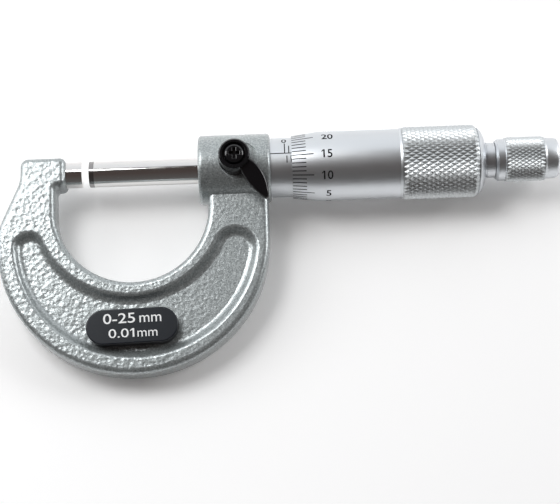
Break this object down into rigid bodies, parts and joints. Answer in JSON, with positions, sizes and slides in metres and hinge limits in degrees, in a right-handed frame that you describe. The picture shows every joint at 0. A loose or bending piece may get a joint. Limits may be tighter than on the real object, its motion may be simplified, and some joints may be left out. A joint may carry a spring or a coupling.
{
  "type": "outside micrometer",
  "caption": "Outside micrometer with a cast bow, graduated sleeve and thimble, spindle lock lever and ratchet stop, lying on its back.",
  "frame": {"origin": "centre of the anvil's measuring face, on the measuring axis", "axes": "+X along the measuring axis from the anvil to the ratchet stop, +Y from the bow to the measuring axis, +Z out of the face with the lock lever and the label; the tool lies on its back"},
  "size_m": [0.1351, 0.0589, 0.0214],
  "materials": {
    "casting_paint": "silver-grey hammertone enamel",
    "ground_steel": "ground and polished",
    "carbide": "lapped",
    "satin_chrome": "satin plated",
    "turned_steel": "turned",
    "black_oxide": "glossy black",
    "label_black": "glossy",
    "pad_brass": "turned",
    "spring_steel": "drawn wire"
  },
  "bodies": {
    "bow": {"frame": "casting_paint", "anvil": "ground_steel", "anvil_tip": "carbide", "label_plate": "label_black", "inner_sleeve": "turned_steel", "sleeve": "satin_chrome", "adjusting_nut": "turned_steel"},
    "lock": {"lock_lever": "black_oxide", "lock_screw": "black_oxide", "lock_stem": "turned_steel"},
    "pad": {"lock_pad": "pad_brass"},
    "carriage": {"seat_washer": "turned_steel"},
    "screw": {"spindle": "ground_steel", "spindle_tip": "carbide", "thimble": "satin_chrome", "ratchet_body": "turned_steel", "ratchet_wheel": "turned_steel"},
    "knob": {"ratchet_knob": "satin_chrome", "ratchet_ring": "satin_chrome", "ratchet_spring": "spring_steel"},
    "pawl": {"ratchet_pawl": "turned_steel"}
  },
  "joints": [
    {"name": "thimble_feed", "type": "slide", "parent": "bow", "child": "carriage", "axis": [1, 0, 0], "range_m": [-0.00166, 0.02334]},
    {"name": "thimble_turn", "type": "hinge", "parent": "carriage", "child": "screw", "pos_m": [0, 0, 0], "axis": [1, 0, 0], "range_deg": [-1194.6, 16805.6]},
    {"name": "ratchet_turn", "type": "hinge", "parent": "screw", "child": "knob", "pos_m": [0.1, 0, 0], "axis": [1, 0, 0], "continuous": true},
    {"name": "pawl_slide", "type": "slide", "parent": "knob", "child": "pawl", "axis": [1, 0, 0], "range_m": [0, 0.00055], "stiffness_N_per_m": 400, "deforming": ["ratchet_spring"]},
    {"name": "lock_turn", "type": "hinge", "parent": "bow", "child": "lock", "pos_m": [0.03705, 0, 0], "axis": [0, 0, 1], "range_deg": [-40.1, 25.1]},
    {"name": "lock_pad_press", "type": "slide", "parent": "bow", "child": "pad", "axis": [0, 0, -1], "range_m": [-0.0000347, 0.0000555]}
  ],
  "couplings": [
    {"joint": "thimble_turn", "follows": "thimble_feed", "rad_per_m": 12566},
    {"joint": "lock_turn", "follows": "lock_pad_press", "rad_per_m": -12566}
  ]
}
